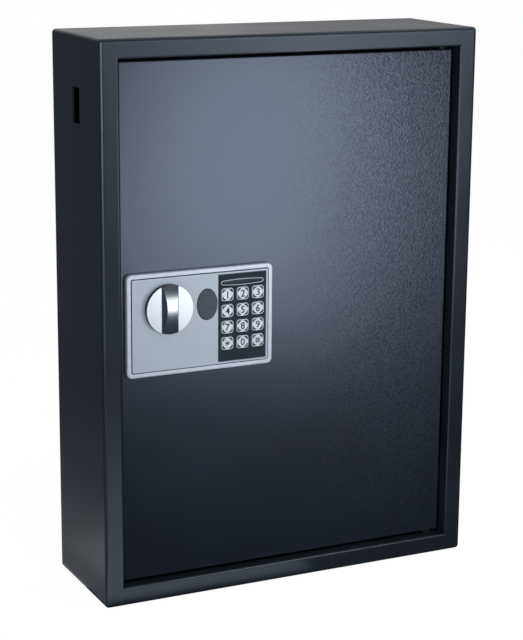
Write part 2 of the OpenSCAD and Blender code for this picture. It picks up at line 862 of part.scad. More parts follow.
// Base plate with an end flange that guides the bolts
module lock_base_plate() {
    color("#9aa0a6") difference() {
        union() {
            block([guide_left, door_back, case_low], [case_right, base_back, case_top]);
            block([guide_left, door_back, case_low], [guide_right, case_inner, case_top]);
        }
        lock_holes(door_back - past, base_back + past, spindle_d + 2 * run_fit);
        for (at = case_screws)
            translate([at[0], 0, at[1]]) rod_y(screw_hole_d, door_back - past, base_back + past);
        for (side = [-1, 1])
            translate([0, bolt_y, side * bolt_pitch / 2])
                rod_x(bolt_d + 2 * run_fit, guide_left - past, guide_right + past);
    }
}

module solenoid() {
    color("#6d737a") difference() {
        block([plunger_x - solenoid_w / 2, base_back, solenoid_low],
              [plunger_x + solenoid_w / 2, base_back + solenoid_w, solenoid_top]);
        translate([plunger_x, plunger_y, solenoid_low - past])
            cylinder(d = plunger_d + 2 * run_fit, h = solenoid_h + 2 * past);
    }
}

module solenoid_plunger() {
    color("#b9bec4") translate([plunger_x, plunger_y, plunger_low]) cylinder(d = plunger_d, h = plunger_l);
}

module battery_box() {
    color("#1d2024") translate([tray_x, 0, tray_z]) difference() {
        sheet_y(tray_front, case_inner) square([tray_w, tray_h], center = true);
        sheet_y(tray_front + tray_wall, case_inner + past)
            square([tray_w - 2 * tray_wall, tray_h - 2 * tray_wall], center = true);
    }
}

// Cells side by side, every other one upside down
module batteries() {
    color("#5c7f9c")
    for (i = [0 : cell_count - 1])
        translate([tray_x + (i - (cell_count - 1) / 2) * cell_pitch,
                   tray_front + tray_wall + drop_gap + cell_d / 2, tray_z])
            mirror([0, 0, i % 2]) translate([0, 0, -(cell_l + cell_cap_l) / 2]) {
                cylinder(d = cell_d, h = cell_l);
                translate([0, 0, cell_l]) cylinder(d = cell_cap_d, h = cell_cap_l);
            }
}

module battery_cover() {
    color("#24282d") translate([tray_x, 0, tray_z])
        sheet_y(case_inner + drop_gap, case_back)
            square([hatch_w - 2 * hatch_gap, hatch_h - 2 * hatch_gap], center = true);
}

module reset_button() {
    color("#b02a2a") translate([button_x, 0, button_z]) {
        rod_y(button_d, case_inner - face_gap, case_back + button_out);
        rod_y(button_flange_d, case_inner - face_gap - 1.5, case_inner - face_gap);
    }
}

// Case open towards the base plate, and at the left end, where the end flange closes it
module lock_cover() {
    color("#24282d") difference() {
        union() {
            difference() {
                block([guide_right, base_back, case_low], [case_right, case_back, case_top]);
                block([guide_right - past, base_back - past, case_low + case_wall],
                      [case_right - case_wall, case_inner, case_top - case_wall]);
            }
            for (at = case_screws)
                translate([at[0], 0, at[1]]) rod_y(boss_d, base_back, case_back);
            block([guide_left, case_inner, case_low], [guide_right, case_back, case_top]);
        }
        for (at = case_screws)
            translate([at[0], 0, at[1]]) rod_y(screw_hole_d, base_back - past, case_back + past);
        translate([tray_x, 0, tray_z])
            sheet_y(case_inner - past, case_back + past) square([hatch_w, hatch_h], center = true);
        translate([button_x, 0, button_z])
            rod_y(button_d + 2 * run_fit, case_inner - past, case_back + past);
    }
}

module cover_screws() {
    color("#b9bec4")
    for (at = case_screws)
        translate([at[0], 0, at[1]]) {
            rod_y(screw_d, door_back, case_back);
            rod_y(screw_head_d, case_back, case_back + screw_head_t);
        }
}

cabinet_shell();
back_panel();
lifted() strike_plate();
upper_hinge_bracket();
lower_hinge_bracket();
for (row = [1 : rail_rows])
    key_rail(row);
rail_rivets();
door_panel();
upper_hinge_pin();
lower_hinge_pin();
hinge_washers();
lifted() lock_bezel();
lifted() face_plate();
lifted() keypad_plate();
lifted() indicator_lens();
lifted() indicator_leds();
lifted() keypad_membrane();
lifted() keypad_board();
lifted() bezel_screws();
for (i = [0 : len(key_names) - 1])
    lifted() key_cap(i);
lifted() turn_knob();
lifted() knob_spindle();
lifted() crank();
lifted() bolt_carriage();
lifted() locking_bolts();
lifted() guide_posts();
lifted() override_cover();
lifted() override_cylinder();
lifted() override_plug();
lifted() cylinder_nut();
lifted() lock_base_plate();
lifted() solenoid();
lifted() solenoid_plunger();
lifted() battery_box();
lifted() batteries();
lifted() battery_cover();
lifted() reset_button();
lifted() lock_cover();
lifted() cover_screws();
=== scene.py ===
import json
import math
import bpy
import bmesh
from mathutils import Matrix, Quaternion, Vector


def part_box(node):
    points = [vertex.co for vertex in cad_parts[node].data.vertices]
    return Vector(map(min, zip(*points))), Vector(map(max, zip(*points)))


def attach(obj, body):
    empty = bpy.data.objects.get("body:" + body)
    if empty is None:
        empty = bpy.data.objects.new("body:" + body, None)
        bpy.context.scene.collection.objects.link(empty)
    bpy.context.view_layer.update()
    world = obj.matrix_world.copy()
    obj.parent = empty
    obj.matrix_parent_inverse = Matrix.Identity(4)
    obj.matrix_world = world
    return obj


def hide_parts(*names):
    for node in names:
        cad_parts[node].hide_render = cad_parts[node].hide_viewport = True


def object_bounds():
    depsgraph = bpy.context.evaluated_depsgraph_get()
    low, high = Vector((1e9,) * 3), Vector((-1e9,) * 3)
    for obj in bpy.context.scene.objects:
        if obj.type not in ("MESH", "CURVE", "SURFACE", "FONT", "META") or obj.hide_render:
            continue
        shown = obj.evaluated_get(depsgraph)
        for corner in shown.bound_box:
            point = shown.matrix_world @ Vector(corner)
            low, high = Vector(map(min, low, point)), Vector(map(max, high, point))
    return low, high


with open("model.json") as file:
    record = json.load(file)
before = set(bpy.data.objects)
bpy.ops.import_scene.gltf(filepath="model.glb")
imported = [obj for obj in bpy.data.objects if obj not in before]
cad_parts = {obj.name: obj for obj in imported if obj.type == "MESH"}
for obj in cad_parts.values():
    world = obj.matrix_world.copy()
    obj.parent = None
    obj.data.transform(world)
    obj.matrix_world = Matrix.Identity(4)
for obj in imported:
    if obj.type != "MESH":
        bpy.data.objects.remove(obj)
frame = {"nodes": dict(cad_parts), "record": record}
nodes = frame["nodes"]
bodyOfNode = {n: body for body, members in frame["record"]["behaviour"]["bodies"].items() for n in members}
slotOfNode = {s["node"]: s["material_slot"] for s in frame["record"]["subparts"]}
cadLow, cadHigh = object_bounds()
mm = 0.001
scene = bpy.context.scene
print("frame loaded:", len(nodes), "nodes")


# camera, at the photograph's angle
viewPoint = {
    "azimuth": -25.99, "elevation": 13.66, "roll": 0.464,  # degrees
    "distance": 1.614, "target": (-0.0326, -0.1152, -0.0014), "clip": (0.05, 30),  # metres
    "focalPixels": 1820.6, "imageSize": (523, 640), "sensorWidth": 36,  # pixels, and mm for the sensor
}


def placeCamera(v):
    a, e = math.radians(v["azimuth"]), math.radians(v["elevation"])
    back = Vector((math.sin(a) * math.cos(e), -math.cos(a) * math.cos(e), math.sin(e)))
    data = bpy.data.cameras.new("photoCamera")
    camera = bpy.data.objects.new("photoCamera", data)
    scene.collection.objects.link(camera)
    camera.location = Vector(v["target"]) + back * v["distance"]
    roll = Quaternion((0, 0, 1), math.radians(v["roll"]))
    camera.rotation_mode = "QUATERNION"
    camera.rotation_quaternion = (-back).to_track_quat("-Z", "Y") @ roll
    data.sensor_width = v["sensorWidth"]
    data.lens = v["sensorWidth"] * v["focalPixels"] / max(v["imageSize"])
    data.clip_start, data.clip_end = v["clip"]
    scene.camera = camera


placeCamera(viewPoint)
scene.view_settings.view_transform = "Standard"
print("camera set")


# materials
def toLinear(hexColour):
    parts = [int(hexColour[i:i + 2], 16) / 255 for i in (1, 3, 5)]
    return [p / 12.92 if p <= 0.04045 else ((p + 0.055) / 1.055) ** 2.4 for p in parts] + [1.0]


def addNode(tree, kind, settings=None, inputs=None):
    node = tree.nodes.new(kind)
    for key, value in (settings or {}).items():
        setattr(node, key, value)
    for key, value in (inputs or {}).items():
        if isinstance(value, bpy.types.NodeSocket):
            tree.links.new(value, node.inputs[key])
        else:
            node.inputs[key].default_value = value
    return node


def emptyTree(owner):
    owner.use_nodes = True
    owner.node_tree.nodes.clear()
    return owner.node_tree


finishes = {}


def startMaterial(name, **sockets):
    finishes[name] = bpy.data.materials.new(name)
    tree = emptyTree(finishes[name])
    shader = addNode(tree, "ShaderNodeBsdfPrincipled", {}, sockets)
    addNode(tree, "ShaderNodeOutputMaterial", {}, {"Surface": shader.outputs[0]})
    coords = addNode(tree, "ShaderNodeTexCoord").outputs["Object"]
    return tree, shader, coords


def mottle(tree, shader, coords, dark, light, size, rough, contrast=0.3):
    # colour and gloss drift together over patches of the given size in mm
    patch = addNode(tree, "ShaderNodeTexNoise", {}, {"Vector": coords, "Scale": 1000 / size, "Detail": 3.0})
    low, high = 0.5 - contrast / 2, 0.5 + contrast / 2
    spread = addNode(tree, "ShaderNodeMapRange", {}, {
        "Value": patch.outputs["Fac"], "From Min": low, "From Max": high, "To Min": 0.0, "To Max": 1.0})
    mix = addNode(tree, "ShaderNodeMix", {"data_type": "RGBA"}, {
        "Factor": spread.outputs[0], 6: toLinear(dark), 7: toLinear(light)})
    tree.links.new(mix.outputs[2], shader.inputs["Base Color"])
    gloss = addNode(tree, "ShaderNodeMapRange", {}, {
        "Value": spread.outputs[0], "To Min": rough[0], "To Max": rough[1]})
    tree.links.new(gloss.outputs[0], shader.inputs["Roughness"])


def grainNoise(tree, coords, size):
    # soft lumps of the given size in mm
    return addNode(tree, "ShaderNodeTexNoise", {}, {
        "Vector": coords, "Scale": 1000 / size, "Detail": 0.5}).outputs["Fac"]


def grainBump(tree, shader, coords, size, depth, strength):
    # height pattern with bumps of the given size and depth in mm
    grain = grainNoise(tree, coords, size)
    bump = addNode(tree, "ShaderNodeBump", {}, {
        "Height": grain, "Strength": strength, "Distance": depth * mm})
    tree.links.new(bump.outputs[0], shader.inputs["Normal"])


def fadingGrain(tree, shader, coords, g):
    # bumps that fade along x: hollows lose gloss and crests gain it, as much as the fade leaves of them
    noiseMiddle, plainGloss = 0.5, 0.5
    grain = grainNoise(tree, coords, g["size"])
    across = addNode(tree, "ShaderNodeSeparateXYZ", {}, {"Vector": coords})
    share = addNode(tree, "ShaderNodeMapRange", {"interpolation_type": "SMOOTHSTEP"}, {
        "Value": across.outputs["X"], "From Min": g["fadeFrom"] * mm, "From Max": g["fadeTo"] * mm,
        "To Min": g["leastShare"]})
    level = addNode(tree, "ShaderNodeMath", {"operation": "SUBTRACT"}, {0: grain, 1: noiseMiddle})
    height = addNode(tree, "ShaderNodeMath", {"operation": "MULTIPLY"}, {
        0: level.outputs[0], 1: share.outputs[0]})
    gloss = addNode(tree, "ShaderNodeMath", {"operation": "MULTIPLY_ADD"}, {
        0: height.outputs[0], 1: g["glossSwing"], 2: plainGloss})
    tree.links.new(gloss.outputs[0], shader.inputs["Specular IOR Level"])
    bump = addNode(tree, "ShaderNodeBump", {}, {"Height": height.outputs[0], "Distance": g["depth"] * mm})
    tree.links.new(bump.outputs[0], shader.inputs["Normal"])


# Polyester powder coat on steel sheet, baked: dark blue-grey with an even pebble skin.
# Such grain is about half a millimetre; it is drawn at a little over 1 mm to show at this size.
tree, shader, coords = startMaterial("bodyPowderCoat", **{
    "IOR": 1.42, "Specular Tint": (0.72, 0.84, 1.0, 1.0)})
mottle(tree, shader, coords, "#161b22", "#1b2129", 90, (0.38, 0.43))
grainBump(tree, shader, coords, 1.1, 0.09, 0.5)

# The door's own coat: the same powder, flatter and shinier, so it mirrors the room softly.
# It has flowed out smoother on the lock side, and keeps more grain toward the hinges.
tree, shader, coords = startMaterial("doorPowderCoat", **{
    "IOR": 1.6, "Specular Tint": (0.66, 0.77, 1.0, 1.0)})
mottle(tree, shader, coords, "#11161d", "#151b23", 120, (0.276, 0.288))
fadingGrain(tree, shader, coords, {
    "size": 1.2, "depth": 0.15, "glossSwing": 0.85, "fadeFrom": -30, "fadeTo": 125, "leastShare": 0.1})

# Bright zinc plate on steel: cool grey metal, faintly clouded by the bath
tree, shader, coords = startMaterial("zincPlate", Metallic=1.0)
mottle(tree, shader, coords, "#a2a6a8", "#b7babb", 14, (0.30, 0.37), 0.9)
grainBump(tree, shader, coords, 0.9, 0.02, 0.25)

# Black oxide on steel: hinge pins and washers, almost unseen in the gap
tree, shader, coords = startMaterial("blackOxide", Metallic=0.6)
mottle(tree, shader, coords, "#14161a", "#1b1e23", 5, (0.45, 0.55))

# Silver paint on a moulded ABS frame: fine metal flake under a satin clear
tree, shader, coords = startMaterial("silverRimPaint", Metallic=0.3)
mottle(tree, shader, coords, "#a9b0bf", "#b3bac8", 6, (0.36, 0.42))

# Satin silver plate: sprayed metal effect with a faint cloudiness
tree, shader, coords = startMaterial("satinSilverPlate", Metallic=0.3)
mottle(tree, shader, coords, "#9ca8b4", "#a4afbb", 22, (0.46, 0.52), 0.5)

# Moulded ABS, satin black: slightly blue, fine spark-eroded skin
tree, shader, coords = startMaterial("keypadBlack", **{
    "IOR": 1.5, "Specular IOR Level": 0.12})
mottle(tree, shader, coords, "#1c2630", "#222d38", 9, (0.50, 0.58))
grainBump(tree, shader, coords, 0.5, 0.015, 0.3)

# Silver paint on the moulded keys, a little brighter than the plate
tree, shader, coords = startMaterial("keySilver", Metallic=0.35)
mottle(tree, shader, coords, "#b2bac6", "#bdc5cf", 3, (0.38, 0.46), 0.5)

# Pad-printed ink on the keys; the same dark is painted on the floors of their corner pockets as painted shade
tree, shader, coords = startMaterial("keyInkAndPocketShade", IOR=1.5)
mottle(tree, shader, coords, "#14191f", "#1c2229", 1.5, (0.55, 0.65))

# Smoked acrylic window: a dark slate, polished
tree, shader, coords = startMaterial("smokedWindow", **{
    "IOR": 1.49, "Specular IOR Level": 0.1})
mottle(tree, shader, coords, "#222a34", "#29323d", 12, (0.30, 0.36))

# Brighter silver of the line round the window; the same silver is painted on the plate's border as a painted
# highlight
tree, shader, coords = startMaterial("silverLineAndBorderHighlight", Metallic=0.2)
mottle(tree, shader, coords, "#bcc5d2", "#c6cedb", 4, (0.4, 0.5))

# Satin chrome plate on die-cast metal: a soft mirror, very slightly cool
tree, shader, coords = startMaterial("chromePlate", Metallic=1.0)
mottle(tree, shader, coords, "#c3c9d0", "#ced3da", 15, (0.28, 0.31))

# Near-black finish on the knob's side, low round its back
tree, shader, coords = startMaterial("knobDarkSide", IOR=1.5)
mottle(tree, shader, coords, "#10151b", "#161c23", 5, (0.4, 0.5))

# Moulded ABS in dark grey, satin: the oval cover
tree, shader, coords = startMaterial("coverGrey", **{
    "IOR": 1.5, "Specular IOR Level": 0.25})
mottle(tree, shader, coords, "#3a444f", "#414c58", 8, (0.52, 0.58))
grainBump(tree, shader, coords, 0.5, 0.015, 0.3)

# Turned brass: warm, with fine tool lines
tree, shader, coords = startMaterial("turnedBrass", Metallic=1.0)
mottle(tree, shader, coords, "#b3945a", "#c9ac6e", 3, (0.28, 0.36), 0.9)
grainBump(tree, shader, coords, 0.4, 0.01, 0.3)

# Black moulded ABS of the lock case: spark-eroded skin that hides sink marks
tree, shader, coords = startMaterial("casePlastic", IOR=1.5)
mottle(tree, shader, coords, "#1b1e21", "#222629", 25, (0.5, 0.6))
grainBump(tree, shader, coords, 0.8, 0.03, 0.45)

# Steel frame and coil of the solenoid: dull plate
tree, shader, coords = startMaterial("coilSteel", Metallic=0.9)
mottle(tree, shader, coords, "#6b7077", "#7c8289", 6, (0.38, 0.5))

# Shrink sleeve on the cells: glossy film over the can
tree, shader, coords = startMaterial("cellSleeve", IOR=1.5)
mottle(tree, shader, coords, "#3e5c75", "#46667f", 20, (0.28, 0.34))

# Red moulded plastic of the reset button
tree, shader, coords = startMaterial("buttonRed", IOR=1.5)
mottle(tree, shader, coords, "#a32222", "#b52c2a", 4, (0.28, 0.36))

# Clear lamp resin, seen only from behind the window
tree, shader, coords = startMaterial("lampResin", IOR=1.5)
mottle(tree, shader, coords, "#8f969c", "#a2a9ae", 3, (0.12, 0.2))

# Silicone sheet: milky, soft sheen
tree, shader, coords = startMaterial("siliconeSheet", IOR=1.41)
mottle(tree, shader, coords, "#c6c8cb", "#d2d4d6", 8, (0.5, 0.62))

# Solder mask on glass-epoxy board
tree, shader, coords = startMaterial("boardGreen", IOR=1.55)
mottle(tree, shader, coords, "#234d39", "#2c5a43", 5, (0.3, 0.42))

slotFinish = {
    "cabinet_paint": "bodyPowderCoat", "door_paint": "doorPowderCoat", "zinc_steel": "zincPlate",
    "black_steel": "blackOxide",
    "silver_rim": "silverRimPaint", "silver_face": "satinSilverPlate", "black_plate": "keypadBlack",
    "silver_key": "keySilver", "dark_lens": "smokedWindow", "lamp_resin": "lampResin",
    "silicone": "siliconeSheet", "circuit_board": "boardGreen", "chrome_knob": "chromePlate",
    "grey_cover": "coverGrey", "lock_brass": "turnedBrass", "coil_steel": "coilSteel",
    "case_plastic": "casePlastic", "cell_sleeve": "cellSleeve", "red_button": "buttonRed",
}
for name, node in nodes.items():
    node.data.materials.clear()
    node.data.materials.append(finishes[slotFinish[slotOfNode[name]]])
print("materials made:", len(finishes))


# shared mesh helpers
meshRules = {
    "weld": 2e-6, "snug": 1e-5,  # metres: corners this close are one, places this close are the same
    "flatWithin": 0.5, "sharpFrom": 25,  # degrees: faces this level are one, edges past this bend are sharp
}


def weldedCopy(node):
    shape = bmesh.new()
    shape.from_mesh(nodes[node].data)
    bmesh.ops.remove_doubles(shape, verts=shape.verts, dist=meshRules["weld"])
    return shape


def skinLoops(shape, loops, closed=True):
    # walls from loop to loop, with a face over the first and, if closed, one over the last
    rings = [[shape.verts.new(p) for p in loop] for loop in loops]
    for a, b in zip(rings, rings[1:]):
        for i in range(len(a)):
            j = (i + 1) % len(a)
            shape.faces.new((a[i], a[j], b[j], b[i]))
    shape.faces.new(rings[0][::-1])
    if closed:
        shape.faces.new(rings[-1])
    return rings


def unitCircle(count):
    return [(math.cos(2 * math.pi * i / count), math.sin(2 * math.pi * i / count)) for i in range(count)]


def toMesh(name, shape, smoothAngle=None):
    bmesh.ops.recalc_face_normals(shape, faces=shape.faces)
    if smoothAngle:
        for face in shape.faces:
            face.smooth = True
        for edge in shape.edges:
            bend = edge.calc_face_angle(0)
            edge.smooth = len(edge.link_faces) == 2 and bend < math.radians(smoothAngle)
    mesh = bpy.data.meshes.new(name)
    shape.to_mesh(mesh)
    shape.free()
    return mesh


def addMesh(name, mesh, finishNames, body, stoodFor=()):
    if mesh.materials:
        mesh.materials.clear()
    for finish in finishNames:
        mesh.materials.append(finishes[finish])
    piece = bpy.data.objects.new(name, mesh)
    scene.collection.objects.link(piece)
    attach(piece, body)
    if stoodFor:
        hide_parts(*stoodFor)
    return piece


def addPiece(name, shape, finishNames, body, stoodFor=(), smoothAngle=35):
    return addMesh(name, toMesh(name, shape, smoothAngle), finishNames, body, stoodFor)


def easedCopy(node, cuts, smoothAngle=35):
    # a copy of a CAD node whose picked sharp edges are rounded; each cut is ((width in mm, segments), pick)
    flat, sharp = math.radians(meshRules["flatWithin"]), math.radians(meshRules["sharpFrom"])
    shape = weldedCopy(node)
    bmesh.ops.dissolve_limit(shape, angle_limit=flat, verts=shape.verts, edges=shape.edges)
    for (width, segments), pick in cuts:
        picked = [e for e in shape.edges
                  if len(e.link_faces) == 2 and e.calc_face_angle(0) > sharp and pick(e)]
        bmesh.ops.bevel(shape, geom=picked, offset=width * mm, segments=segments, profile=0.5,
                        affect="EDGES", clamp_overlap=True)
    slot = slotOfNode[node]
    piece = addPiece(node + "_piece", shape, [slotFinish[slot]], bodyOfNode[node], (node,), smoothAngle)
    keepFlat = piece.modifiers.new("keepFlat", "WEIGHTED_NORMAL")
    keepFlat.keep_sharp = True
    return piece


def onPlane(edge, axis, place):
    return all(abs(v.co[axis] - place) < meshRules["snug"] for v in edge.verts)


def atY(edge, y):
    return onPlane(edge, 1, y)


# door: folded sheet, so its front edges are rounded
doorEdge = {"fold": (1.6, 4)}  # radius in mm and segments
doorLow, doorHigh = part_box("door_panel")


def onDoorFold(edge):
    snug = meshRules["snug"]
    outside = [all(abs(abs(v.co.x) - doorHigh.x) < snug for v in edge.verts),
               all(abs(abs(v.co.z) - doorHigh.z) < snug for v in edge.verts)]
    return (atY(edge, doorLow.y) and any(outside)) or all(outside)


easedCopy("door_panel", [(doorEdge["fold"], onDoorFold)])
print("door made")


# lock panel: low rim with a rounded shoulder, plate with a painted highlight on its border, black keypad
# plate
panelEdges = {
    "rimRound": (1.0, 4), "rimInner": (0.25, 2), "plateRound": (0.5, 3), "plateHoles": (0.4, 2),
    "keypadHoles": (0.25, 2),  # width in mm and segments
    "rimWidth": 3.0, "grooveFrom": 0.3, "plateCorner": 1.1, "atRim": 0.1, "border": 0.7,  # mm
    "faceForward": 0.3,  # the least that a face of the border looks forward, of 1
}
rimLow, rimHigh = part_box("lock_bezel")
plateLow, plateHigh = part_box("face_plate")


def insetFrom(low, high, point):
    # how far a point of a panel lies inside its box, across and upright, in mm
    across = min(point.x - low.x, high.x - point.x) / mm
    upright = min(point.z - low.z, high.z - point.z) / mm
    return across, upright


def onRimOutside(edge):
    return atY(edge, rimLow.y) and all(
        min(insetFrom(rimLow, rimHigh, v.co)) < panelEdges["rimWidth"] for v in edge.verts)


def onPlateBorder(edge):
    insets = [insetFrom(plateLow, plateHigh, v.co) for v in edge.verts]
    return atY(edge, plateLow.y) and all(
        min(i) < panelEdges["atRim"] or max(i) < panelEdges["plateCorner"] for i in insets)


bezel = easedCopy("lock_bezel", [
    (panelEdges["rimRound"], onRimOutside), (panelEdges["rimInner"], lambda e: atY(e, rimLow.y))])
bezel.data.materials.append(finishes["keypadBlack"])
for face in bezel.data.polygons:  # the groove inside the rim is painted the keypad's black: painted shade in the recess
    inside = min(insetFrom(rimLow, rimHigh, face.center)) > panelEdges["rimWidth"]
    if inside and face.center.y > rimLow.y + panelEdges["grooveFrom"] * mm:
        face.material_index = 1

plate = easedCopy("face_plate", [
    (panelEdges["plateRound"], onPlateBorder),
    (panelEdges["plateHoles"], lambda e: atY(e, plateLow.y) and e.is_convex)])
plate.data.materials.append(finishes["silverLineAndBorderHighlight"])
for face in plate.data.polygons:  # the border faces get the brighter silver: a painted highlight
    inset = min(insetFrom(plateLow, plateHigh, face.center))
    if face.normal.y < -panelEdges["faceForward"] and inset < panelEdges["border"]:
        face.material_index = 1
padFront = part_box("keypad_plate")[0].y
easedCopy("keypad_plate", [(panelEdges["keypadHoles"], lambda e: atY(e, padFront))])
print("lock panel made")


# keys: silver caps with a raised rim, four corner pockets painted dark as painted shade, and a shallow dish
keyCap = {  # mm, unless noted
    "flangeHalf": 6.45, "flangeCorner": 0.8, "flangeFront": 2.9, "depth": 3.7, "half": 5.75, "corner": 2.6,
    # inset, corner and depth of each step of the shoulder
    "shoulder": [(0.0, 2.6, 0.55), (0.04, 2.6, 0.22), (0.12, 2.5, 0.07), (0.28, 2.4, 0.0)],
    "rimInner": 5.0, "rimCorner": 2.0, "rimSlope": 0.1, "sunkCorner": 1.95,
    "dial": 4.65, "dialEdge": 0.25, "dialDepth": 0.03, "dish": 0.1,
    "dishSteps": [(0.75, 0.6), (0.3, 1.0)],  # share of the dial and of the dish
    "ledge": 0.05, "pocket": 0.5, "pocketGap": 0.5,
    "pocketSteep": 2.5, "paintedShadeFrom": 0.35,  # how fast a pocket deepens, and the share from which its floor is painted dark as shade
    "points": 64, "smoothAngle": 50,  # count, degrees
}


def roundedSquare(half, corner, angle):
    c, s = math.cos(angle), math.sin(angle)
    k = half / max(abs(c), abs(s))
    inner = half - corner
    if abs(k * c) > inner and abs(k * s) > inner:
        along = inner * (abs(c) + abs(s))
        k = along + math.sqrt(max(along * along - 2 * inner * inner + corner * corner, 0))
    return k


def keyLoop(centre, front, radiusAt, depthAt):
    loop = []
    for i in range(keyCap["points"]):
        angle = 2 * math.pi * i / keyCap["points"]
        r = radiusAt(angle)
        loop.append((centre.x + r * math.cos(angle) * mm, front + depthAt(angle) * mm,
                     centre.z + r * math.sin(angle) * mm))
    return loop


def pocketShare(angle):
    # 0 where the dial comes near the rim, 1 in the corners between them
    k = keyCap
    room = roundedSquare(k["rimInner"], k["rimCorner"], angle) - k["dial"]
    widest = roundedSquare(k["rimInner"], k["rimCorner"], math.pi / 4) - k["dial"]
    return max(0.0, (room - k["pocketGap"]) / (widest - k["pocketGap"]))


def pocketDepth(angle):
    return keyCap["ledge"] + keyCap["pocket"] * min(1.0, keyCap["pocketSteep"] * pocketShare(angle))


def squareOf(half, corner):
    return lambda angle: roundedSquare(half, corner, angle)


def always(value):
    return lambda angle: value


def makeKey(node):
    k = keyCap
    lo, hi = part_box(node)
    centre = (lo + hi) / 2
    flange = squareOf(k["flangeHalf"], k["flangeCorner"])
    steps = [  # radius and depth of each loop, from the back of the key to the middle of its dial
        (flange, always(k["depth"])), (flange, always(k["flangeFront"])),
        (squareOf(k["half"], k["corner"]), always(k["flangeFront"])),
    ]
    for inset, corner, depth in k["shoulder"]:
        steps.append((squareOf(k["half"] - inset, corner), always(depth)))
    steps += [
        (squareOf(k["rimInner"] + k["rimSlope"], k["rimCorner"]), always(0.0)),
        (squareOf(k["rimInner"] - k["rimSlope"], k["sunkCorner"]), pocketDepth),
        (always(k["dial"]), pocketDepth),
        (always(k["dial"] - k["dialEdge"]), always(k["dialDepth"])),
    ]
    for reach, share in k["dishSteps"]:
        steps.append((always(reach * k["dial"]), always(share * k["dish"])))
    shape = bmesh.new()
    rings = skinLoops(shape, [keyLoop(centre, lo.y, r, d) for r, d in steps])
    sunk = {v for ring, (_, depthAt) in zip(rings, steps) if depthAt is pocketDepth for v in ring}
    for face in shape.faces:  # the floors of the pockets are painted dark: painted shade in the pockets
        if set(face.verts) <= sunk:
            mid = face.calc_center_median() - centre
            face.material_index = int(pocketShare(math.atan2(mid.z, mid.x)) > k["paintedShadeFrom"])
    addPiece(node + "_cap", shape, ["keySilver", "keyInkAndPocketShade"], bodyOfNode[node], (node,),
             k["smoothAngle"])
    return centre, lo.y


keyMark = {
    "numeralHeight": 6.3, "numeralWeight": 0.12, "barWidth": 0.75, "rise": 0.16, "foot": 0.12,  # mm
    "capHeight": 0.7,  # of the built-in font, at size 1
    "starReach": 2.6, "starAngles": (50, 130), "starBar": 2.2,  # mm, degrees
    "hashBars": [((-2.5, 1.0), (2.5, 1.0)), ((-2.5, -1.0), (2.5, -1.0)),
                 ((-1.2, -2.6), (-0.8, 2.6)), ((0.8, -2.6), (1.2, 2.6))],
}


def strokeBars(bars, width, thickness):
    # marks drawn as straight bars: each bar is ((x, z), (x, z)) in mm
    shape = bmesh.new()
    for start, end in bars:
        a, b = Vector(start), Vector(end)
        side = (b - a).orthogonal().normalized() * width / 2
        front = [shape.verts.new((p.x, -thickness, p.y)) for p in (a + side, b + side, b - side, a - side)]
        back = [shape.verts.new((v.co.x, 0.0, v.co.z)) for v in front]
        shape.faces.new(front)
        shape.faces.new(back[::-1])
        for i in range(4):
            j = (i + 1) % 4
            shape.faces.new((front[i], back[i], back[j], front[j]))
    return toMesh("mark", shape)


def numeralMesh(text, height, weight, thickness):
    halfDepth = 0.5
    curve = bpy.data.curves.new("numeral", "FONT")
    curve.body = text
    curve.size = 1.0
    curve.align_x = "CENTER"
    curve.align_y = "CENTER"
    curve.extrude = halfDepth
    curve.resolution_u = 4
    curve.offset = weight / height * keyMark["capHeight"]
    holder = bpy.data.objects.new("numeral", curve)
    scene.collection.objects.link(holder)
    view = bpy.context.evaluated_depsgraph_get()
    mesh = bpy.data.meshes.new_from_object(holder.evaluated_get(view))
    bpy.data.objects.remove(holder)
    xs = [v.co.x for v in mesh.vertices]
    ys = [v.co.y for v in mesh.vertices]
    scale = height / (max(ys) - min(ys))
    midX, midY = (max(xs) + min(xs)) / 2, (max(ys) + min(ys)) / 2
    for v in mesh.vertices:  # flat text stands up: its face looks along -Y
        v.co = ((v.co.x - midX) * scale, -thickness * (v.co.z + halfDepth), (v.co.y - midY) * scale)
    return mesh


def starBars(reach, angles, bar):
    bars = []
    for t in map(math.radians, angles):
        x, z = reach * math.cos(t), reach * math.sin(t)
        bars.append(((x, z), (-x, -z)))
    return bars + [((-bar, 0), (bar, 0))]


markBars = {
    "star": starBars(keyMark["starReach"], keyMark["starAngles"], keyMark["starBar"]),
    "hash": keyMark["hashBars"],
}
for label in list("1234567890") + ["star", "hash"]:
    centre, front = makeKey("key_" + label)
    if label in markBars:
        mark = strokeBars(markBars[label], keyMark["barWidth"], keyMark["rise"])
    else:
        mark = numeralMesh(label, keyMark["numeralHeight"], keyMark["numeralWeight"], keyMark["rise"])
    foot = Vector((centre.x, front + keyMark["foot"] * mm, centre.z))
    mark.transform(Matrix.Translation(foot) @ Matrix.Scale(mm, 4))
    addMesh("key_" + label + "_mark", mark, ["keyInkAndPocketShade"], "key_" + label + "_body")
print("keys made")


# turn knob: the CAD form with its sharp edges eased, as a polished casting has
knobEdges = {
    "ease": (0.45, 3),  # width in mm and segments
    "backClear": 0.1, "darkSideHeight": 4.6,  # mm
    "sideSlope": 0.2, "smoothAngle": 30,  # the most that the knob's side looks forward, of 1; degrees
}
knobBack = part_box("turn_knob")[1].y


def onKnobEdge(edge):
    return edge.is_convex and min(v.co.y for v in edge.verts) < knobBack - knobEdges["backClear"] * mm


knob = easedCopy("turn_knob", [(knobEdges["ease"], onKnobEdge)], knobEdges["smoothAngle"])
knob.data.materials.append(finishes["knobDarkSide"])
for face in knob.data.polygons:  # the side near the back is given the near-black finish
    onSide = abs(face.normal.y) < knobEdges["sideSlope"]
    if onSide and face.center.y > knobBack - knobEdges["darkSideHeight"] * mm:
        face.material_index = 1
print("knob made")


# oval cover: crowned, with a rounded edge
coverForm = {
    "edge": 0.7, "crown": 0.35,  # mm
    "edgeSteps": 4, "crownSteps": 6, "points": 72, "smoothAngle": 60,  # counts, degrees
}


